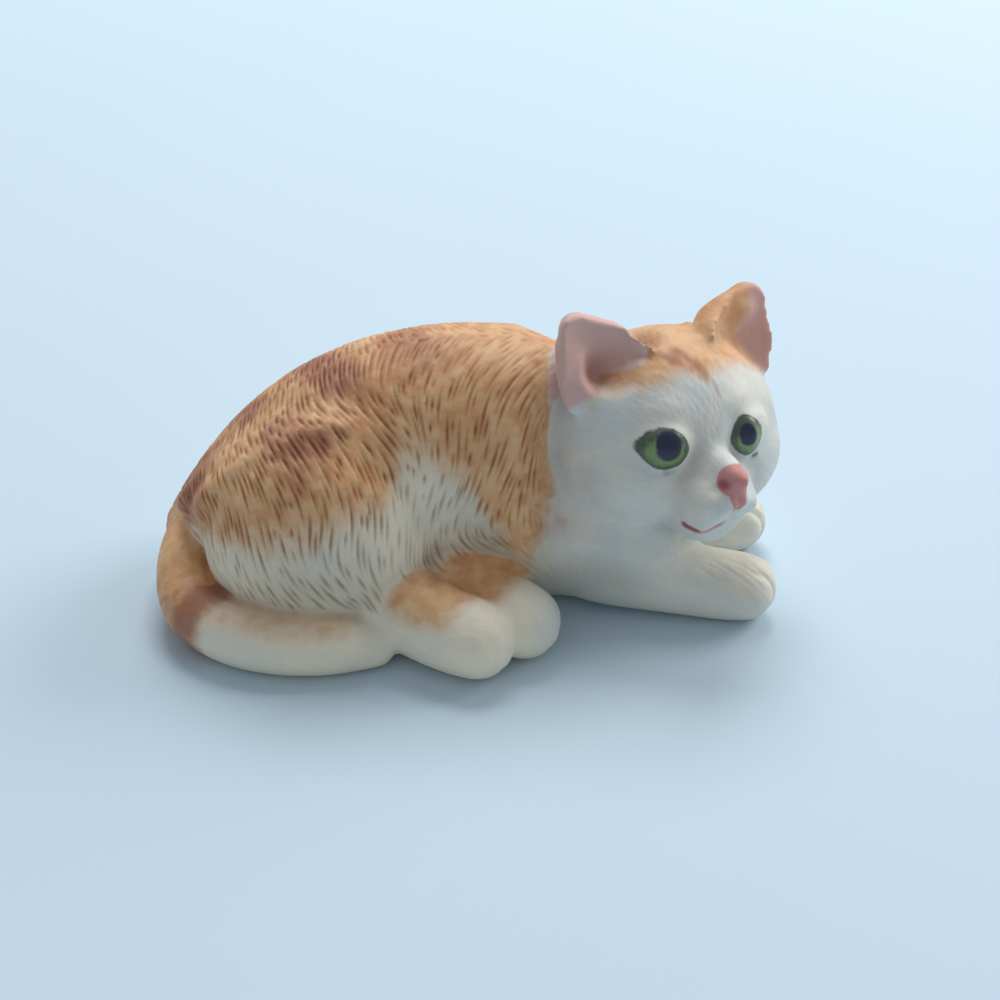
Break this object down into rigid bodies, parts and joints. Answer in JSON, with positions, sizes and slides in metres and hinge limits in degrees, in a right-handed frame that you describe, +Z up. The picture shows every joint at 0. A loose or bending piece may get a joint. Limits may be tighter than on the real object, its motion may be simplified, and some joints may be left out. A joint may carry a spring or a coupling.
{
  "type": "ceramic cat figurine",
  "caption": "Small painted ceramic figurine of a kitten lying down with its head turned to its right, hind feet and tail tucked beside it, and fur lines carved all over.",
  "frame": {"origin": "on the plane that the figurine stands on, under the middle of the body, beside the firing vent", "axes": "+X along the body from tail to chest, +Y to the kitten's left, away from the side it looks to, +Z up"},
  "size_m": [0.069, 0.0376, 0.035],
  "materials": {
    "ginger_glaze": "matt hand-painted overglaze, ginger back over a white body, carved fur lines",
    "white_glaze": "matt hand-painted overglaze, white with ginger crown and pink nose",
    "haunch_glaze": "matt hand-painted overglaze, ginger above and cream below, carved fur lines",
    "foot_glaze": "matt hand-painted overglaze, ginger above and white toes",
    "tail_glaze": "matt hand-painted overglaze, ginger with a dark band and a cream end",
    "ear_glaze": "matt hand-painted overglaze, mauve-pink inside with pale rims",
    "eye_enamel": "glossy green enamel with a dark pupil"
  },
  "bodies": {
    "root": {"body_shell": "ginger_glaze", "head_shell": "white_glaze", "left_ear": "ear_glaze", "right_ear": "ear_glaze", "left_eye": "eye_enamel", "right_eye": "eye_enamel", "right_haunch": "haunch_glaze", "right_hind_foot": "foot_glaze", "left_hind_foot": "foot_glaze", "tail": "tail_glaze", "right_foreleg": "white_glaze", "left_foreleg": "white_glaze"}
  },
  "joints": []
}
